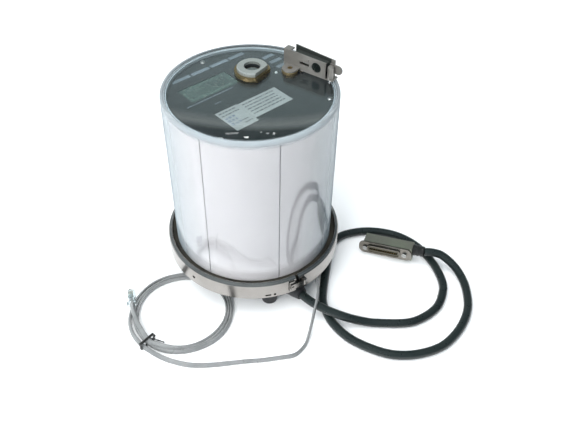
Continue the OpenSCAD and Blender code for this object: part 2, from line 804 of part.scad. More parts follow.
module connector_insulator() {
  color([0.3, 0.3, 0.26])
  at_connector() difference() {
    translate([0, 11.7, 0]) rotate([90, 0, 0]) linear_extrude(8) plug_outline(7.85, 42.45, 4.45, 12.55, 2.1);
    translate([9, 0, 7]) cube([31.5, 8, 3]);
  }
}

module connector_contacts() {
  color([0.85, 0.7, 0.35])
  at_connector() for (i = [0:11]) for (z = [6.8, 9.8])
    translate([9.7 + i * 2.6, 4.2, z]) cube([1.4, 9, 0.4]);
}

module jackscrews() {
  color([0.75, 0.74, 0.72])
  at_connector() for (x = screw_x) translate([x, hood_y0, hood_h / 2]) rotate([90, 0, 0]) difference() {
    union() {
      translate([0, 0, -4.5]) cylinder(6.5, r = 1.48);
      translate([0, 0, 1.5]) cylinder(1.8, r = 2.6);
    }
    translate([-3, -0.35, 2.6]) cube([6, 0.7, 2]);
  }
}

module connector_relief() {
  color([0.16, 0.16, 0.17])
  at_connector() translate([hood_l, relief_y, relief_z]) rotate([0, 90, 0]) rotate_extrude() polygon([
    [0, -1.6], [3.35, -1.6], [3.35, 0.1], [6.2, 0.1], [6.2, 2.6], [5.7, 3], [5.7, 4.4], [6.1, 4.8],
    [6.1, 6.4], [5.5, 6.8], [5.5, 8.2], [5.8, 8.6], [5.5, relief_l], [0, relief_l]
  ]);
}

// ---- Telephone lead ----

module comms_grommet() {
  color([0.1, 0.1, 0.1])
  translate([15, -61.5, 22]) rotate([90, 0, 0]) rotate_extrude() polygon([
    [0, 0], [4.5, 0], [4.5, 7.4], [5.6, 7.7], [5.6, 9.4], [3.6, 12.4], [0, 12.4]
  ]);
}

module comms_lead() {
  color([0.68, 0.69, 0.7]) tube(comms_route, comms_w / 2, comms_t / 2, 8);
}

module comms_coil() {
  color([0.66, 0.67, 0.68])
  translate([coil_x, coil_y, 0]) rotate_extrude() polygon([
    [coil_in_r, 1], [coil_in_r + 1.4, 0], [coil_out_r - 1.4, 0], [coil_out_r, 1],
    [coil_out_r, coil_h - 1], [coil_out_r - 1.4, coil_h], [coil_in_r + 1.4, coil_h], [coil_in_r, coil_h - 1]
  ]);
}

module comms_tail() {
  color([0.68, 0.69, 0.7]) tube(tail_route, comms_w / 2, comms_t / 2, 8);
}

module twist_tie() {
  color([0.08, 0.08, 0.08])
  translate([-158.3, -26, 0]) rotate([0, 0, 8]) {
    difference() {
      translate([-9.5, -1.2, 0.05]) cube([17.5, 2.4, 9]);
      translate([-8.7, -5, 0.8]) cube([15.9, 10, 7.4]);
    }
    translate([7.9, -1.2, 4]) cube([1.4, 2.4, 1.6]);
  }
}

module modular_plug() {
  color([0.85, 0.9, 0.92, 0.5])
  at_plug() difference() {
    union() {
      translate([0.02, -modular_w / 2, -modular_h / 2]) cube([modular_l, modular_w, modular_h]);
      translate([modular_l - 2.2, -1.6, modular_h / 2 - eps]) cube([2.2, 3.2, 1.3]);
    }
    translate([-1, -2.9, -1.4]) cube([13, 5.8, 2.8]);
    for (i = [0:3]) translate([modular_l - 7, -2.2 + i * 1.27, -modular_h / 2 - 1])
      cube([8, 0.6, 4.5]);
  }
}

module plug_contacts() {
  color([0.85, 0.68, 0.3])
  at_plug() for (i = [0:3]) translate([modular_l - 6.6, -2.12 + i * 1.27, -modular_h / 2 + 0.4])
    cube([5.8, 0.44, 2.9]);
}

module plug_latch() {
  color([0.85, 0.9, 0.92, 0.5])
  at_plug() translate([modular_l - 2.4, 0, modular_h / 2 + 0.5]) rotate([0, 6, 0])
    translate([-14.5, -2.1, 0]) cube([14.4, 4.2, 0.8]);
}

base_moulding();
line_blades();
load_blades();
cable_outlet();
cover_gasket();
cover();
sealing_ring();
ring_catch();
ring_latch();
latch_pin();
chassis();
side_panels();
face_plate();
face_screws();
lcd_module();
name_label();
label_bars();
reset_switch();
register_board();
light_pipes();
power_board();
board_standoffs();
current_transformers();
bus_bars();
power_transformer();
capacitors();
backup_battery();
port_base();
port_ring();
port_window();
port_nut();
reset_bracket();
mounting_bush();
bracket_post();
bracket_nut();
reset_lever();
lever_pin();
reset_plunger();
plunger_guide();
plunger_spring();
io_gland();
io_cable();
hood_upper();
hood_lower();
connector_flange();
connector_insulator();
connector_contacts();
jackscrews();
connector_relief();
comms_grommet();
comms_lead();
comms_coil();
comms_tail();
twist_tie();
modular_plug();
plug_contacts();
plug_latch();
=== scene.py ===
"""Looks of a socket-type electricity meter that lies on its back with its two leads.
Lengths are in metres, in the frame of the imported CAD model."""
import json
import math
import random

import bmesh
import bpy
from mathutils import Matrix, Vector


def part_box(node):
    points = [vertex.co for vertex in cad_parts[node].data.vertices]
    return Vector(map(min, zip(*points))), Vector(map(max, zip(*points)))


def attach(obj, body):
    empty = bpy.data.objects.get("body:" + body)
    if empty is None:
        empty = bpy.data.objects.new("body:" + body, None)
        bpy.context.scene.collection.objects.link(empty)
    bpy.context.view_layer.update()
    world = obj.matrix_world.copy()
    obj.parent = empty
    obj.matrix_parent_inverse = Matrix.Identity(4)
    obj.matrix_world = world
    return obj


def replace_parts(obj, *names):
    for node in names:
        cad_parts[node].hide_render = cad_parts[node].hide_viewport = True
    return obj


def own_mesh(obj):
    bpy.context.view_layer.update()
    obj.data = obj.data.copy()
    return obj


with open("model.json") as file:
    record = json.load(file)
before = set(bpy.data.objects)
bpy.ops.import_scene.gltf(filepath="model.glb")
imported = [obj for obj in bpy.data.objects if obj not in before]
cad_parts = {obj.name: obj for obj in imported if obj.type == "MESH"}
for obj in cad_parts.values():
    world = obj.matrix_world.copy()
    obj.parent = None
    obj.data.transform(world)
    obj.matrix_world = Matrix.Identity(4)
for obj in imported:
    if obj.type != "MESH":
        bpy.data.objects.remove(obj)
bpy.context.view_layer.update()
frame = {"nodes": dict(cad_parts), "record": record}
MM = 0.001
ROOT = "meter"
COVER_TURN = 13.4  # degrees that the cover is turned on the base
COVER_TOP = 214.7  # millimetres, the cover's top face
# places on the cover's own turned frame, in millimetres
PORT_AT = (23.1, 15.1)
BUSH_AT = (45.5, -12)
PLUNGER_AT = (56, -17)
POST_AT = (54, -51)


def mm(*values):
    """A point given in millimetres, in metres."""
    return Vector(values) * MM


# ---------------------------------------------------------------- camera

VIEW_ANGLES = (-39, 38.57, 2.98, -4.936, -1.189)  # degrees: round the object, above it, pan, tilt, roll
VIEW_CENTRE = 133.2  # millimetres, height of the point that the camera circles
VIEW_DISTANCE = 664.8  # millimetres
VIEW_LENS = 41.87  # millimetres


def lean(a, b, angle):
    """Turns two directions at right angles together, the first towards the second."""
    return a * math.cos(angle) + b * math.sin(angle), b * math.cos(angle) - a * math.sin(angle)


def place_camera():
    """Puts the camera where the photograph was taken from."""
    turn, rise, pan, tilt, roll = (math.radians(angle) for angle in VIEW_ANGLES)
    ahead = Vector((0, math.cos(rise), -math.sin(rise)))
    right = Vector((1, 0, 0))
    up = right.cross(ahead)
    spin = Matrix.Rotation(turn, 4, "Z")
    at = spin @ (mm(0, 0, VIEW_CENTRE) - ahead * VIEW_DISTANCE * MM)
    ahead, right = lean(ahead, right, pan)
    ahead, up = lean(ahead, up, tilt)
    right, up = lean(right, up, roll)
    axes = [(spin @ v).normalized() for v in (right, up, -ahead)]
    facing = Matrix([[axis[i] for axis in axes] for i in range(3)]).to_4x4()
    data = bpy.data.cameras.new("view")
    data.lens = VIEW_LENS
    data.clip_start, data.clip_end = 0.01, 50
    camera = bpy.data.objects.new("view", data)
    bpy.context.collection.objects.link(camera)
    camera.matrix_world = Matrix.Translation(at) @ facing
    bpy.context.scene.camera = camera


place_camera()


# ---------------------------------------------------------------- materials

LOOKS = {}


class Look:
    """A Principled material built up from procedural layers in object space."""

    def __init__(self, name, color, rough=0.5, metal=0.0, **sockets):
        LOOKS[name] = self
        self.mat = bpy.data.materials.new(name)
        self.mat.use_nodes = True
        self.tree = self.mat.node_tree
        self.shader = self.tree.nodes["Principled BSDF"]
        self.put("Base Color", (*color, 1))
        self.put("Roughness", rough)
        self.put("Metallic", metal)
        for socket, value in sockets.items():
            self.put(socket.replace("_", " ").title().replace("Ior", "IOR"), value)
        self.color = (*color, 1)
        self.where = self.node("ShaderNodeTexCoord").outputs["Object"]

    def node(self, kind, **values):
        made = self.tree.nodes.new(kind)
        for key, value in values.items():
            setattr(made, key, value)
        return made

    def put(self, socket, value):
        self.shader.inputs[socket].default_value = value

    def link(self, a, b):
        self.tree.links.new(a, b)

    def noise(self, scale, stretch=(1, 1, 1), detail=4.0):
        """A cloudy pattern, scale per metre, drawn out along an axis whose stretch is small."""
        mapping = self.node("ShaderNodeMapping")
        mapping.inputs["Scale"].default_value = stretch
        self.link(self.where, mapping.inputs["Vector"])
        noise = self.node("ShaderNodeTexNoise")
        noise.inputs["Scale"].default_value = scale
        noise.inputs["Detail"].default_value = detail
        self.link(mapping.outputs["Vector"], noise.inputs["Vector"])
        return noise.outputs["Fac"]

    def ramp(self, fac, low, high, at=(0.3, 0.7)):
        """Runs from low to high as the value goes from the first of two places to the second."""
        ramp = self.node("ShaderNodeMapRange")
        ramp.inputs["From Min"].default_value, ramp.inputs["From Max"].default_value = at
        ramp.inputs["To Min"].default_value, ramp.inputs["To Max"].default_value = low, high
        self.link(fac, ramp.inputs["Value"])
        return ramp.outputs["Result"]

    def times(self, a, b):
        """One value multiplied by another."""
        both = self.node("ShaderNodeMath", operation="MULTIPLY")
        self.link(a, both.inputs[0])
        self.link(b, both.inputs[1])
        return both.outputs["Value"]

    def between(self, value, low, high, soft=0.0001):
        """1 where the value lies between two lengths in metres."""
        above = self.ramp(value, 0, 1, (low - soft, low))
        below = self.ramp(value, 1, 0, (high, high + soft))
        return self.times(above, below)

    def axes(self, turn=0.0):
        """Object coordinates, turned about Z by an angle in degrees."""
        mapping = self.node("ShaderNodeMapping")
        mapping.inputs["Rotation"].default_value = (0, 0, math.radians(-turn))
        self.link(self.where, mapping.inputs["Vector"])
        split = self.node("ShaderNodeSeparateXYZ")
        self.link(mapping.outputs["Vector"], split.inputs["Vector"])
        return split.outputs

    def tint(self, fac, other, at=(0.3, 0.7)):
        """Blends the base colour towards another where the pattern is high."""
        mix = self.node("ShaderNodeMix", data_type="RGBA")
        mix.inputs["A"].default_value = self.color
        mix.inputs["B"].default_value = (*other, 1)
        self.link(self.ramp(fac, 0, 1, at), mix.inputs["Factor"])
        source = self.shader.inputs["Base Color"].links
        if source:
            self.link(source[0].from_socket, mix.inputs["A"])
        self.link(mix.outputs["Result"], self.shader.inputs["Base Color"])

    def gloss(self, fac, low, high, at=(0.3, 0.7)):
        """Lets the roughness follow a pattern."""
        self.link(self.ramp(fac, low, high, at), self.shader.inputs["Roughness"])

    def bump(self, fac, height, strength=1.0):
        """Relief of that height in metres."""
        bump = self.node("ShaderNodeBump")
        bump.inputs["Strength"].default_value = strength
        bump.inputs["Distance"].default_value = height
        self.link(fac, bump.inputs["Height"])
        old = self.shader.inputs["Normal"].links
        if old:
            self.link(old[0].from_socket, bump.inputs["Normal"])
        self.link(bump.outputs["Normal"], self.shader.inputs["Normal"])


CLOUDS, SMEARS, STAINS = 60, 220, 35  # patterns per metre


def plastic(name, color, rough, other=None, grain=1500, height=0.00002, **sockets):
    """Plastic, paper, ink or rubber: clouds of a second colour, uneven gloss and a fine grain."""
    look = Look(name, color, rough, **sockets)
    look.tint(look.noise(CLOUDS), other or tuple(c * 0.82 for c in color))
    look.gloss(look.noise(SMEARS), rough * 0.85, min(1, rough * 1.2))
    look.bump(look.noise(grain, detail=2), height, 0.5)


def metal(name, color, rough, stretch=(1, 1, 1), other=None, scale=900, height=0.00001, metallic=1.0):
    """Metal with stains of a second tone, and brush marks along the axis whose stretch is small."""
    look = Look(name, color, rough, metallic)
    look.tint(look.noise(STAINS), other or tuple(c * 0.8 for c in color))
    brushed = look.noise(scale, stretch)
    look.gloss(brushed, rough * 0.75, min(1, rough * 1.35))
    look.bump(brushed, height, 0.6)


plastic("black_moulding", (0.018, 0.018, 0.02), 0.45)
metal("plated_contact", (0.62, 0.6, 0.56), 0.3, stretch=(1, 1, 0.05))
plastic("gasket_rubber", (0.014, 0.013, 0.011), 0.6, other=(0.03, 0.027, 0.02), specular_ior_level=0.25)
metal("ring_steel", (0.38, 0.355, 0.335), 0.2, stretch=(0.04, 0.04, 1), other=(0.3, 0.28, 0.26),
      scale=2600, height=0.000006)
plastic("chassis_plastic", (0.015, 0.017, 0.018), 0.5)
plastic("white_panel", (0.43, 0.392, 0.398), 0.35, other=(0.41, 0.372, 0.378), grain=300, height=0.00001)
plastic("dark_face", (0.008, 0.011, 0.011), 0.55, other=(0.006, 0.008, 0.008), grain=1800,
        height=0.000003, specular_ior_level=0.25)
metal("screw_steel", (0.5, 0.5, 0.48), 0.3)
plastic("display_glass", (0.03, 0.052, 0.042), 0.25, other=(0.024, 0.04, 0.034), grain=1400,
        height=0.000001)
plastic("label_paper", (0.19, 0.212, 0.205), 0.5, other=(0.16, 0.18, 0.178), grain=900, height=0.00001)
plastic("pale_print", (0.1, 0.125, 0.145), 0.45, other=(0.075, 0.1, 0.115), grain=900, height=0.00001)
plastic("label_ink", (0.025, 0.03, 0.033), 0.6, other=(0.04, 0.048, 0.05))
plastic("blue_ink", (0.06, 0.085, 0.13), 0.6, other=(0.09, 0.11, 0.14))
plastic("light_lens", (0.62, 0.7, 0.68), 0.15)
plastic("panel_edge", (0.17, 0.2, 0.215), 0.5, specular_ior_level=0.3)
plastic("panel_lip", (0.34, 0.39, 0.42), 0.5, specular_ior_level=0.3)
plastic("board_green", (0.02, 0.13, 0.06), 0.35)
plastic("transformer_tape", (0.05, 0.08, 0.2), 0.4)
metal("copper", (0.72, 0.36, 0.22), 0.3, stretch=(1, 0.05, 1))
metal("transformer_iron", (0.2, 0.19, 0.17), 0.5)
plastic("capacitor_sleeve", (0.02, 0.03, 0.09), 0.3)
plastic("battery_sleeve", (0.35, 0.04, 0.03), 0.35)
metal("brass", (0.5, 0.37, 0.2), 0.3, other=(0.36, 0.26, 0.13), scale=700)
metal("port_steel", (0.54, 0.56, 0.53), 0.34, stretch=(1, 1, 0.1), other=(0.47, 0.49, 0.46),
      scale=1100, height=0.000002, metallic=0.75)
plastic("dark_window", (0.1, 0.12, 0.115), 0.3, other=(0.075, 0.09, 0.085))
metal("bracket_steel", (0.3, 0.285, 0.262), 0.4, stretch=(1, 0.1, 0.5), other=(0.22, 0.207, 0.188),
      scale=1200, metallic=0.6)
metal("dark_steel", (0.045, 0.055, 0.05), 0.4)
plastic("cable_jacket", (0.007, 0.011, 0.011), 0.3, other=(0.012, 0.017, 0.016), grain=900,
        height=0.00004)
metal("hood_plating", (0.27, 0.3, 0.22), 0.42, other=(0.23, 0.215, 0.19), scale=500, metallic=0.75)
metal("shell_steel", (0.27, 0.25, 0.225), 0.34, other=(0.17, 0.155, 0.13), scale=600)
plastic("insulator", (0.075, 0.062, 0.035), 0.4, other=(0.045, 0.04, 0.026))
metal("contact_gold", (0.6, 0.45, 0.2), 0.3)
plastic("relief_rubber", (0.008, 0.009, 0.009), 0.45, other=(0.014, 0.013, 0.012))
plastic("silver_jacket", (0.23, 0.235, 0.235), 0.3, other=(0.17, 0.175, 0.175), grain=700)


def paint_light_towards_foot(look):
    """Lightens the panels from one height down to another, in metres: painted light that offsets the
    shade near their foot.
    """
    look.tint(look.axes()["Z"], (0.6, 0.55, 0.55), (0.075, 0.035))


def paint_shade_between_plates(look):
    """Darkens the lever and the plates on the sides that face each other: painted shade between the
    parts.
    """
    along, across = (0.0526, 0.0597), (-0.048, -0.0088)  # metres, on the cover's turned frame
    place = look.axes(COVER_TURN)
    inside = look.times(look.between(place["X"], *along), look.between(place["Y"], *across))
    # the colour of the painted shade between the plates
    look.tint(inside, (0.06, 0.068, 0.062), (0, 1))


paint_light_towards_foot(LOOKS["white_panel"])
paint_shade_between_plates(LOOKS["bracket_steel"])

# where the painted reflection round the cover's rim comes in, in metres from the axis and above the
# floor
RIM_RADIUS = (0.0765, 0.0795)
RIM_HEIGHT = (0.207, 0.211)
# where the painted reflection seen edge on thins out under the top face, in metres above the floor
TOP_FACE = (0.2125, 0.2143)
THIN_PAINTED_REFLECTION = 0.3
# where the painted reflection seen edge on starts and is full: 0 is seen square on, 1 is seen edge on
EDGE_ON = (0.43, 0.9)


def distance_from_axis(look, place):
    """Distance from the object's axis, in metres."""
    flat = look.node("ShaderNodeCombineXYZ")
    look.link(place["X"], flat.inputs["X"])
    look.link(place["Y"], flat.inputs["Y"])
    length = look.node("ShaderNodeVectorMath", operation="LENGTH")
    look.link(flat.outputs["Vector"], length.inputs[0])
    return length.outputs["Value"]


def mixed(look, share, first, second):
    """One shader turning into another as the share goes from 0 to 1."""
    mix = look.node("ShaderNodeMixShader")
    look.link(share, mix.inputs["Fac"])
    look.link(first, mix.inputs[1])
    look.link(second, mix.inputs[2])
    return mix.outputs["Shader"]


def with_painted_reflection(look, edge_painted_reflection, rim_painted_reflection):
    """The look's own shader with a pale diffuse layer where it is seen edge on and round the cover's
    rim: painted reflection.
    """
    place = look.axes()
    rim = look.times(look.ramp(distance_from_axis(look, place), 0, rim_painted_reflection, RIM_RADIUS),
                     look.ramp(place["Z"], 0, 1, RIM_HEIGHT))
    view = look.node("ShaderNodeLayerWeight")
    view.inputs["Blend"].default_value = 0.5
    edge = look.times(look.ramp(view.outputs["Facing"], 0, edge_painted_reflection, EDGE_ON),
                      look.ramp(place["Z"], 1, THIN_PAINTED_REFLECTION, TOP_FACE))
    most = look.node("ShaderNodeMath", operation="MAXIMUM")
    look.link(edge, most.inputs[0])
    look.link(rim, most.inputs[1])
    color = look.node("ShaderNodeMix", data_type="RGBA")
    color.inputs["A"].default_value = (0.25, 0.285, 0.305, 1)
    color.inputs["B"].default_value = (0.33, 0.35, 0.36, 1)
    look.link(rim, color.inputs["Factor"])
    # a pale diffuse layer that paints in the reflection
    painted_reflection = look.node("ShaderNodeBsdfDiffuse")
    look.link(color.outputs["Result"], painted_reflection.inputs["Color"])
    return mixed(look, most.outputs["Value"], look.shader.outputs["BSDF"], painted_reflection.outputs["BSDF"])


def clear(name, color, rough, edge_painted_reflection, rim_painted_reflection=0.0):
    """Clear plastic with a pale painted reflection at its edges and rim. Lamps shine through it."""
    look = Look(name, color, rough, transmission_weight=1.0, ior=1.5)
    look.bump(look.noise(22, detail=1), 0.00003, 0.25)
    see_through = look.node("ShaderNodeBsdfTransparent")
    see_through.inputs["Color"].default_value = (*(c ** 0.5 for c in color), 1)
    path = look.node("ShaderNodeLightPath")
    body = with_painted_reflection(look, edge_painted_reflection, rim_painted_reflection)
    whole = mixed(look, path.outputs["Is Shadow Ray"], body, see_through.outputs["BSDF"])
    look.link(whole, look.tree.nodes["Material Output"].inputs["Surface"])


clear("clear_cover", (0.93, 0.965, 0.975), 0.0, 0.85, 0.65)
clear("clear_plug", (0.9, 0.94, 0.95), 0.05, 0.3)


def dress(obj, slot):
    """Gives a piece one look."""
    obj.data.materials.clear()
    obj.data.materials.append(LOOKS[slot].mat)


for part in frame["record"]["subparts"]:
    dress(frame["nodes"][part["node"]], part["material_slot"])


# ---------------------------------------------------------------- mesh helpers

def finish_mesh(name, bm, slot, body=ROOT, sharp=35):
    """Makes an object of a bmesh, shaded smooth except over sharp edges."""
    bmesh.ops.recalc_face_normals(bm, faces=bm.faces)
    data = bpy.data.meshes.new(name)
    bm.to_mesh(data)
    bm.free()
    data.shade_smooth()
    data.set_sharp_from_angle(angle=math.radians(sharp))
    obj = bpy.data.objects.new(name, data)
    bpy.context.collection.objects.link(obj)
    dress(obj, slot)
    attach(obj, body)
    return obj


def lathe(bm, profile, steps=256, at=Matrix()):
    """Turns a closed profile of (radius, height) points, in millimetres, into a ring."""
    rows = []
    for i in range(steps):
        a = math.tau * i / steps
        rows.append([bm.verts.new(at @ mm(r * math.cos(a), r * math.sin(a), z)) for r, z in profile])
    count = len(profile)
    for i in range(steps):
        here, after = rows[i], rows[(i + 1) % steps]
        for k in range(count):
            n = (k + 1) % count
            bm.faces.new((here[k], after[k], after[n], here[n]))


def arc(centre, radius, start, end, steps=12):
    """Points of a round in a profile, angles in degrees."""
    return [
        (centre[0] + radius * math.cos(math.radians(start + (end - start) * i / steps)),
         centre[1] + radius * math.sin(math.radians(start + (end - start) * i / steps)))
        for i in range(steps + 1)
    ]


def slab(bm, low, high, at=Matrix()):
    """A box between two corners in millimetres."""
    corners = [bm.verts.new(at @ mm(x, y, z)) for x in (low[0], high[0]) for y in (low[1], high[1])
               for z in (low[2], high[2])]
    for quad in ((0, 1, 3, 2), (4, 6, 7, 5), (0, 4, 5, 1), (2, 3, 7, 6), (0, 2, 6, 4), (1, 5, 7, 3)):
        bm.faces.new([corners[i] for i in quad])


def oval(across, up, count):
    """A closed round section of (across, up) offsets."""
    return [(across * math.cos(math.tau * k / count), up * math.sin(math.tau * k / count))
            for k in range(count)]


def spline(points, per_span):
    """A smooth curve through the points."""
    out = []
    for i in range(len(points) - 1):
        a, b, c, d = (points[min(max(k, 0), len(points) - 1)] for k in (i - 1, i, i + 1, i + 2))
        for s in range(per_span):
            t = s / per_span
            out.append(0.5 * ((2 * b) + (c - a) * t + (2 * a - 5 * b + 4 * c - d) * t * t
                              + (3 * b - a - 3 * c + d) * t ** 3))
    return out + [points[-1]]


def sweep(bm, path, section, rolls):
    """Sweeps a closed section of (across, up) offsets along a path; a roll of 0 lies it flat."""
    rings = []
    for i, p in enumerate(path):
        along = (path[min(i + 1, len(path) - 1)] - path[max(i - 1, 0)]).normalized()
        side = along.cross(Vector((0, 0, 1))).normalized()
        up = side.cross(along)
        c, s = math.cos(rolls[i]), math.sin(rolls[i])
        across, high = side * c + up * s, up * c - side * s
        rings.append([bm.verts.new(p + across * u + high * v) for u, v in section])
    n = len(section)
    for here, after in zip(rings, rings[1:]):
        for k in range(n):
            bm.faces.new((here[k], here[(k + 1) % n], after[(k + 1) % n], after[k]))
    bm.faces.new(rings[0][::-1])
    bm.faces.new(rings[-1])


# ---------------------------------------------------------------- cords

IO_ROUTE = [mm(*p) for p in (
    (-10, -87.9, 14), (-9.5, -98, 13.4), (-7, -112, 13.7), (-2.5, -127, 14.3), (5, -139, 12),
    (14, -148, 8), (26, -159, 4.7), (50, -180, 4.6), (70, -187, 4.6), (90, -187, 4.6),
    (107, -180, 4.6), (119, -171, 4.6), (130, -154.5, 4.6), (137.5, -136, 4.6), (141, -115, 4.6),
    (138, -94, 4.6), (130, -78, 4.6), (118, -64, 4.6), (103, -54, 4.6), (87, -48.5, 4.6),
    (70, -52, 4.6), (53, -63.5, 4.6), (36, -77, 4.6), (20, -90, 4.6), (6, -103, 4.6),
    (-2, -117, 4.6), (-7, -133, 4.6), (-7.5, -154, 4.6), (-1, -176, 4.6), (11, -197, 4.6),
    (31, -213, 4.6), (56, -222, 4.6), (85, -220, 4.6), (111, -210, 4.6), (131, -193, 4.6),
    (142, -177, 5.6), (145, -163, 9.5), (142.5, -149.5, 14.6), (136.5, -141, 17), (129.9, -134, 17))]
COMMS_ROUTE = [mm(*p) for p in (
    (15, -73.9, 22), (13, -82, 21.9), (9, -90, 21.4), (3, -98, 20.9), (-6, -106, 20),
    (-16, -113, 16.2), (-25, -119, 10), (-34, -124.5, 4.5), (-46, -131, 1.6), (-60, -132.5, 1.3),
    (-73, -125.5, 1.3), (-88, -116, 1.3), (-101, -106.5, 1.3), (-115, -97, 1.3),
    (-128, -88, 1.3), (-140, -78, 1.3), (-149, -67, 1.3), (-156, -55, 1.3),
    (-161, -42, 1.3), (-164.5, -28, 1.5))]
TAIL_ROUTE = [mm(*p) for p in (
    (-158, -30, 6.6), (-157, -18, 6.7), (-155, -6, 6.7), (-152.3, 5, 6.9), (-149.3, 14.7, 7.4),
    (-145.7, 21.8, 7.6), (-142.2, 28.7, 6))]
COIL_CENTRE = (-110.5, -17.6)
COIL_TURNS = 3
COIL_START, COIL_END = 190.9, 194.6 - 360 * COIL_TURNS  # degrees, where the lead joins and leaves
COIL_STEPS = 150
JOIN_R, OUTER_R, COIL_PITCH = 54.9, 50.9, 2.7  # millimetres
SETTLE = 0.35  # turns over which the lead swings in from JOIN_R to OUTER_R
CLIMB_AT, CLIMB = 2.8, 0.2  # turns, where it starts to cross over the others and for how long
CLIMB_IN, CLIMB_UP = 3.4, 3.85  # millimetres, inside OUTER_R and upwards, at the end of the climb
LAY_HEIGHT = 2.75  # millimetres
UNROLL = 0.07  # turns before the end over which it turns down flat

# rolls of the flat lead, in degrees: 0 lies flat and 90 stands on its edge
OUT_ROLL, JOIN_ROLL, COIL_ROLL, TAIL_ROLL = 80, 55, 74, 50
LEAD_HALF_WIDTH, LEAD_HALF_THICK, LEAD_REST = 2.5, 1.2, 1.1  # millimetres


def make_io_cable():
    """The round black cable, a curve that follows its route."""
    data = bpy.data.curves.new("io_cord", "CURVE")
    data.dimensions = "3D"
    data.bevel_depth = 4.5 * MM
    data.bevel_resolution = 6
    data.use_fill_caps = True
    line = data.splines.new("POLY")
    path = spline(IO_ROUTE, 6)
    line.points.add(len(path) - 1)
    for point, place in zip(line.points, path):
        point.co = (*place, 1)
    line.use_smooth = True
    cord = bpy.data.objects.new("io_cord", data)
    bpy.context.collection.objects.link(cord)
    dress(cord, "cable_jacket")
    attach(cord, ROOT)
    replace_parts(cord, "io_cable")


def coil_point(share):
    """Place and roll of the flat lead at a share of its way round the coil."""
    a = math.radians(COIL_START + (COIL_END - COIL_START) * share)
    turn = share * COIL_TURNS
    settle = min(1, turn / SETTLE)
    climb = max(0, min(1, (turn - CLIMB_AT) / CLIMB))
    climb = climb * climb * (3 - 2 * climb)
    radius = JOIN_R + (OUTER_R - JOIN_R) * settle
    radius -= COIL_PITCH * (turn - SETTLE * settle) * (1 - climb) + CLIMB_IN * climb
    radius += 0.35 * math.sin(5 * a + 2 * turn)
    height = LAY_HEIGHT + CLIMB_UP * climb + 0.15 * math.sin(3 * a)
    roll = math.radians(JOIN_ROLL + (COIL_ROLL - JOIN_ROLL) * settle)
    roll *= min(1, (COIL_TURNS - turn) / UNROLL)
    x, y = COIL_CENTRE
    return mm(x + radius * math.cos(a), y + radius * math.sin(a), height), roll


def comms_path():
    """Centreline and roll of the flat lead: out to the coil, round it, and back over it."""
    path = spline(COMMS_ROUTE, 5)
    rolls = []
    leaning_from, leaning_over = 60, 20  # points of the path
    for i in range(len(path)):
        leaning = max(0, min(1, (i - leaning_from) / leaning_over))
        rolls.append(math.radians(OUT_ROLL - (OUT_ROLL - JOIN_ROLL) * leaning))
    for i in range(1, COIL_STEPS):
        place, roll = coil_point(i / COIL_STEPS)
        path.append(place)
        rolls.append(roll)
    tail = spline(TAIL_ROUTE, 5)
    path, rolls = path + tail, rolls + [math.radians(TAIL_ROLL)] * len(tail)
    for point, roll in zip(path, rolls):
        lowest = LEAD_HALF_WIDTH * abs(math.sin(roll)) + LEAD_REST * math.cos(roll)
        point.z = max(point.z, lowest * MM)
    return path, rolls


def make_comms_lead():
    """The flat silver lead, a ribbon with rounded edges, laid as one length from end to end."""
    path, rolls = comms_path()
    half, thick = LEAD_HALF_WIDTH * MM, LEAD_HALF_THICK * MM
    section = []
    for i in range(16):
        a = math.tau * (i + 0.5) / 16
        u = half * math.copysign(abs(math.cos(a)) ** 0.65, math.cos(a))
        v = thick * math.copysign(abs(math.sin(a)) ** 0.8, math.sin(a))
        section.append((u, v))
    bm = bmesh.new()
    sweep(bm, path, section, rolls)
    lead = finish_mesh("comms_cord", bm, "silver_jacket", sharp=60)
    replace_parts(lead, "comms_lead", "comms_coil", "comms_tail")
    lead.visible_glossy = False


make_io_cable()
make_comms_lead()


# ---------------------------------------------------------------- cover

def bore(obj, name, centre, radius):
    """Cuts a round hole down through the cover's top; centre on its own frame, in millimetres."""
    bm = bmesh.new()
    bmesh.ops.create_cone(bm, cap_ends=True, segments=64, radius1=radius * MM, radius2=radius * MM,
                          depth=0.03, matrix=Matrix.Translation(mm(*on_cover(*centre), 214)))
    data = bpy.data.meshes.new(name)
    bm.to_mesh(data)
    bm.free()
    cutter = bpy.data.objects.new(name, data)
    bpy.context.collection.objects.link(cutter)
    cut = obj.modifiers.new(name, "BOOLEAN")
    cut.object, cut.operation, cut.solver = cutter, "DIFFERENCE", "EXACT"
    bpy.context.view_layer.objects.active = obj
    bpy.ops.object.modifier_apply(modifier=name)
    bpy.data.objects.remove(cutter)


def on_cover(x, y):
    """A place on the cover's own frame, which is turned on the base, in millimetres."""
    turn = math.radians(COVER_TURN)
    return (x * math.cos(turn) - y * math.sin(turn), x * math.sin(turn) + y * math.cos(turn))


def cover_profile():
    """Half a cut through the cover: its outside from the middle down, then its inside back up."""
    top, foot = COVER_TOP, 39.9
    outer, inner = 81.5, 78.3
    ceiling = top - 3.2
    edge_r, inner_r = 2.2, 2.6
    profile = [(0.02, top), (70, top), (outer - 2.6, top)]
    profile += arc((outer - edge_r, top - edge_r), edge_r, 90, 0, 10)
    profile += [(outer, top - 3), (outer, foot + 6), (outer, foot + 4.6),
                (outer + 0.5, foot + 4.1), (outer + 2.6, foot + 4), (outer + 3.1, foot + 3.6),
                (outer + 3.1, foot + 0.4), (outer + 2.7, foot), (inner + 0.4, foot),
                (inner, foot + 0.5), (inner, foot + 2), (inner, top - 6.4)]
    profile += arc((inner - inner_r, ceiling - inner_r), inner_r, 0, 90, 10)
    return profile + [(inner - 3.2, ceiling), (0.02, ceiling)]


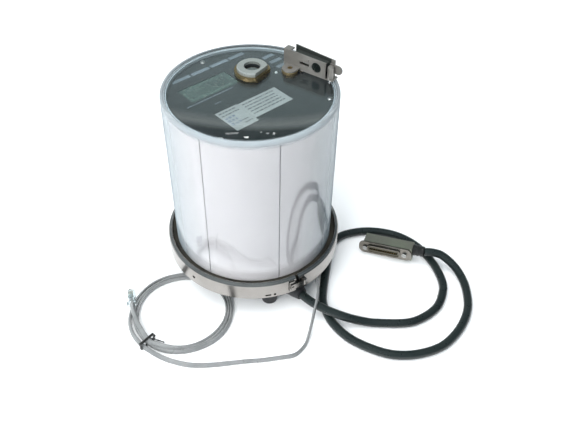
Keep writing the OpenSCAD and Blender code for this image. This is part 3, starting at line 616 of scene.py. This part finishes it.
def make_cover():
    """One clear deep cup with a foot flange and a generous round at its front edge."""
    bm = bmesh.new()
    lathe(bm, cover_profile(), 256)
    cover = finish_mesh("clear_cup", bm, "clear_cover", sharp=50)
    bore(cover, "port_hole", PORT_AT, 9.05)
    bore(cover, "bush_hole", BUSH_AT, 4.05)
    bore(cover, "plunger_hole", PLUNGER_AT, 2.85)
    bore(cover, "post_hole", POST_AT, 2.05)
    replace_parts(cover, "cover")


make_cover()


# ---------------------------------------------------------------- face

LABEL_THICK = 0.27
LABEL_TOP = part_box("name_label")[1][2] / MM
FACE_TOP = LABEL_TOP - LABEL_THICK
PRINT_RELIEF = 0.06
DASH_GAP = 0.9
rng = random.Random(7)


def print_rows(bm, x0, x1, rows, tall, short=2.2, long=7.5):
    """Rows of blank dashes that stand for lines of small print."""
    for y in rows:
        x = x0
        while x < x1 - short:
            step = min(rng.uniform(short, long), x1 - x)
            slab(bm, (x, y, LABEL_TOP), (x + step - DASH_GAP, y + tall, LABEL_TOP + PRINT_RELIEF))
            x += step


def make_label_print():
    """Dashes on the two labels."""
    bm = bmesh.new()
    print_rows(bm, -17, 20, (-9.2, -13.4, -17.6, -21.8, -26), 1.3)
    print_rows(bm, -42, -22, (-8, -12.2), 1.4, 2, 5)
    print_rows(bm, -31, -22, (-27, -31), 1.3, 2, 4)
    finish_mesh("label_print", bm, "label_ink")


def make_label_signs():
    """Small blue blocks in three rows at the label's left."""
    bm = bmesh.new()
    for y in (-17.5, -22.5, -27.5):
        for x in (-42, -38, -34):
            wide, tall = rng.uniform(1.6, 3), rng.uniform(1.6, 3.4)
            slab(bm, (x, y, LABEL_TOP), (x + wide, y + tall, LABEL_TOP + PRINT_RELIEF))
    finish_mesh("label_signs", bm, "blue_ink")


def make_face_bars():
    """Pale bars along the face's top and right edges, and a row of small dashes."""
    bm = bmesh.new()
    pitch, ends = 22.4, (-23.5, -1.1, 21.3, 41)
    for i, end in enumerate(ends):
        slab(bm, (-43.5 + pitch * i, 58.8, FACE_TOP), (end, 63.2, LABEL_TOP))
    for i in range(3):
        y = 38 - 10.4 * i
        slab(bm, (49.5, y, FACE_TOP), (62 + i, y + 4.4, LABEL_TOP))
    x = -56.0
    while x < -8:
        step = rng.uniform(2.4, 5)
        slab(bm, (x, 19, FACE_TOP), (x + step - DASH_GAP, 20.3, FACE_TOP + 0.1))
        x += step
    for x in (-34, -31.5, -28.8):
        slab(bm, (x, 8, FACE_TOP), (x + 1.6, 9.2, FACE_TOP + 0.1))
    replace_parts(finish_mesh("face_print", bm, "pale_print"), "label_bars")


def make_display():
    """Six places of plain segments on the display's window."""
    bm = bmesh.new()
    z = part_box("lcd_module")[1][2] / MM
    segments = ((0, 0, 4.2, 0.7), (0, 5.4, 4.2, 6.1), (0, 10.8, 4.2, 11.5),
                (0, 0, 0.7, 11.5), (4.2, 0, 4.9, 11.5))
    for i in range(6):
        x, y = -43 + i * 7.6, 29.5
        for x0, y0, x1, y1 in segments:
            slab(bm, (x + x0, y + y0, z), (x + x1, y + y1, z + 0.05))
    finish_mesh("display_segments", bm, "dark_face")


def make_face_light():
    """The small light beside the display."""
    bm = bmesh.new()
    bmesh.ops.create_uvsphere(bm, u_segments=20, v_segments=12, radius=1.4 * MM,
                              matrix=Matrix.Translation(mm(41.8, 12.4, FACE_TOP + 0.4)))
    finish_mesh("face_light", bm, "light_lens")


make_label_print()
make_label_signs()
make_face_bars()
make_display()
make_face_light()


# ---------------------------------------------------------------- port

def cover_frame(x, y):
    """The cover's own turned frame, moved to a place in millimetres."""
    return Matrix.Rotation(math.radians(COVER_TURN), 4, "Z") @ Matrix.Translation(mm(x, y, 0))


def make_panel_lining():
    """The grey lining of the panels above the face, and the pale lip over their top edge."""
    inside, foot, top = 75.95, 206.7, 210.1
    bm = bmesh.new()
    lathe(bm, [(inside, foot), (inside + 0.25, foot), (inside + 0.25, top), (inside, top)], 192)
    finish_mesh("panel_lining", bm, "panel_edge")
    bm = bmesh.new()
    lathe(bm, [(inside, top + 0.02), (77.55, top + 0.02), (77.6, top + 0.25), (inside, top + 0.25)], 192)
    finish_mesh("panel_lip", bm, "panel_lip")


def make_port_lining():
    """A dark sleeve in the port's opening, above the window."""
    outer, inner, foot, top = 7.7, 7.1, 216.15, 219.1
    profile = [(outer, foot), (outer, top - 0.2), (outer - 0.2, top),
               (inner + 0.1, top), (inner, top - 0.2), (inner, foot)]
    bm = bmesh.new()
    lathe(bm, profile, 72, cover_frame(*PORT_AT))
    finish_mesh("port_lining", bm, "chassis_plastic")


def make_spring():
    """The plunger's return spring, drawn at one length; the real spring shortens as the plunger goes
    down.
    """
    low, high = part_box("plunger_spring")
    wire, radius, stroke = 0.25 * MM, 2.25 * MM, 3.5 * MM
    turns, steps = 5, 28
    foot, length = low[2] + wire, high[2] - low[2] - 2 * wire
    at = cover_frame(*PLUNGER_AT)
    path = []
    for i in range(turns * steps + 1):
        a = math.tau * i / steps
        height = foot + length * i / (turns * steps)
        path.append(at @ Vector((radius * math.cos(a), radius * math.sin(a), height)))
    bm = bmesh.new()
    sweep(bm, path, oval(wire, wire, 10), [0.0] * len(path))
    spring = finish_mesh("return_spring", bm, "screw_steel", sharp=60)
    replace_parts(spring, "plunger_spring")
    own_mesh(spring)


def make_foot_seal():
    """The gasket's lip, which closes the gap between the cover's foot and the ring."""
    cover_side, ring_side, foot = 81.56, 86.3, 44.1
    bm = bmesh.new()
    lathe(bm, [(cover_side, foot), (ring_side, foot), (ring_side + 0.1, foot + 1.3),
               (84.6, foot + 1.8), (cover_side, foot + 1.2)], 256)
    finish_mesh("foot_seal", bm, "gasket_rubber")


def make_tie_tail():
    """The twisted ends of the tie, lying along the coil."""
    route = ((-156.5, -27.5, 9.7), (-154, -32, 9.9), (-151.5, -36, 9.6), (-148.5, -41, 9))
    twist = 0.5  # radians from one point of the path to the next
    path = spline([mm(*p) for p in route], 6)
    bm = bmesh.new()
    sweep(bm, path, oval(0.75 * MM, 0.5 * MM, 8), [i * twist for i in range(len(path))])
    finish_mesh("tie_tail", bm, "black_moulding", sharp=60)


make_port_lining()
make_panel_lining()
make_spring()
make_foot_seal()
make_tie_tail()


# ---------------------------------------------------------------- stage

def softbox(name, place, target, size, power, color=(1, 1, 1), mirrored=False):
    """A lamp with a rectangular face; only a mirrored one shows up in shiny surfaces."""
    data = bpy.data.lights.new(name, "AREA")
    data.shape, data.size, data.size_y = "RECTANGLE", size[0], size[1]
    data.energy, data.color = power, color
    lamp = bpy.data.objects.new(name, data)
    bpy.context.collection.objects.link(lamp)
    lamp.location = place
    lamp.rotation_euler = (Vector(target) - Vector(place)).to_track_quat("-Z", "Y").to_euler()
    lamp.visible_glossy = mirrored


def towards(azimuth, elevation):
    """Unit vector in a direction given in degrees."""
    a, e = math.radians(azimuth), math.radians(elevation)
    return Vector((math.cos(a) * math.cos(e), math.sin(a) * math.cos(e), math.sin(e)))


def stage_piece(name, bm, look):
    """Adds a piece of the stage, which is no part of the object."""
    data = bpy.data.meshes.new(name)
    bm.to_mesh(data)
    bm.free()
    data.materials.append(look.mat)
    piece = bpy.data.objects.new(name, data)
    bpy.context.collection.objects.link(piece)
    return piece


def make_floor():
    """A pale matt floor, 12 metres square."""
    bm = bmesh.new()
    bmesh.ops.create_grid(bm, x_segments=2, y_segments=2, size=6)
    look = Look("floor_white", (0.94, 0.94, 0.94), 0.8, specular_ior_level=0.1)
    look.tint(look.noise(2), (0.93, 0.935, 0.94))
    stage_piece("floor", bm, look)


def make_backdrop():
    """A pale round wall that only the camera sees."""
    radius, tall = 2.6, 4
    bm = bmesh.new()
    bmesh.ops.create_cone(bm, cap_ends=False, segments=96, radius1=radius, radius2=radius, depth=tall,
                          matrix=Matrix.Translation((0, 0, 1.95)))
    look = Look("backdrop_white", (0.9, 0.9, 0.9), 0.9)
    look.tint(look.noise(2), (0.88, 0.89, 0.9))
    look.put("Emission Color", (0.9, 0.93, 0.95, 1))
    look.put("Emission Strength", 0.75)
    wall = stage_piece("backdrop", bm, look)
    wall.data.shade_smooth()
    wall.visible_glossy = wall.visible_diffuse = wall.visible_transmission = wall.visible_shadow = False


# azimuth, elevation, radius and softness in degrees, and the colour, each over the ones before it
WORLD_PATCHES = (
    (-39, 12, 55, 40, (0.13, 0.17, 0.2)),
    (50, 52, 18, 6, (0.07, 0.085, 0.09)),
    (50, 6, 30, 0.5, (0.95, 1.05, 1.05)),
    (50, 6, 29.3, 0.7, (0.46, 0.56, 0.58)),
)


def make_world():
    """A pale room with two darker areas, and a large round one low down with a thin bright edge."""
    world = bpy.data.worlds.new("studio")
    bpy.context.scene.world = world
    world.use_nodes = True
    nodes, links = world.node_tree.nodes, world.node_tree.links
    where = nodes.new("ShaderNodeTexCoord")
    color = nodes.new("ShaderNodeRGB").outputs[0]
    color.default_value = (0.44, 0.53, 0.58, 1)
    for azimuth, elevation, radius, soft, shade in WORLD_PATCHES:
        dot = nodes.new("ShaderNodeVectorMath")
        dot.operation = "DOT_PRODUCT"
        dot.inputs[1].default_value = towards(azimuth, elevation)
        links.new(where.outputs["Generated"], dot.inputs[0])
        edge = nodes.new("ShaderNodeMapRange")
        edge.inputs["From Min"].default_value = math.cos(math.radians(radius + soft / 2))
        edge.inputs["From Max"].default_value = math.cos(math.radians(radius - soft / 2))
        links.new(dot.outputs["Value"], edge.inputs["Value"])
        mix = nodes.new("ShaderNodeMix")
        mix.data_type = "RGBA"
        links.new(edge.outputs["Result"], mix.inputs["Factor"])
        links.new(color, mix.inputs["A"])
        mix.inputs["B"].default_value = (*shade, 1)
        color = mix.outputs["Result"]
    links.new(color, nodes["Background"].inputs["Color"])
    nodes["Background"].inputs["Strength"].default_value = 1.0


# where the cover's top mirrors it in millimetres, its azimuth and elevation from there in degrees,
# its width and height in metres, and its power in watts
SPARKS = (
    (-55.2, -43.6, 53.1, 36.3, 0.06, 0.007, 0.0024),
    (-47.3, -53.5, 51.6, 36.7, 0.022, 0.007, 0.0035),
    (-35.4, -55.1, 50, 36.3, 0.01, 0.005, 0.0003),
    (-32.1, -58.7, 49.3, 36.4, 0.014, 0.006, 0.0006),
    (-28, -62.7, 48.6, 36.4, 0.01, 0.01, 0.001),
)
SPARK_DISTANCE = 2.5  # metres


def light_stage():
    """Three soft lamps, and five small ones that show as glints in the cover's top."""
    softbox("key", (-1.6, -0.5, 1.2), (0, 0, 0.1), (1.2, 1.2), 34)
    softbox("top", (-0.5, 0.1, 2.4), (0, 0, 0), (3.0, 3.0), 88)
    softbox("fill", (0.9, -1.6, 0.9), (0, 0, 0.1), (1.2, 1.0), 1, (0.92, 0.97, 1))
    for x, y, azimuth, elevation, wide, tall, power in SPARKS:
        mirror = mm(x, y, COVER_TOP)
        place = mirror + towards(azimuth, elevation) * SPARK_DISTANCE
        softbox("spark", place, mirror, (wide, tall), power, mirrored=True)


make_floor()
make_backdrop()
make_world()
light_stage()
bpy.context.scene.view_settings.view_transform = "Standard"
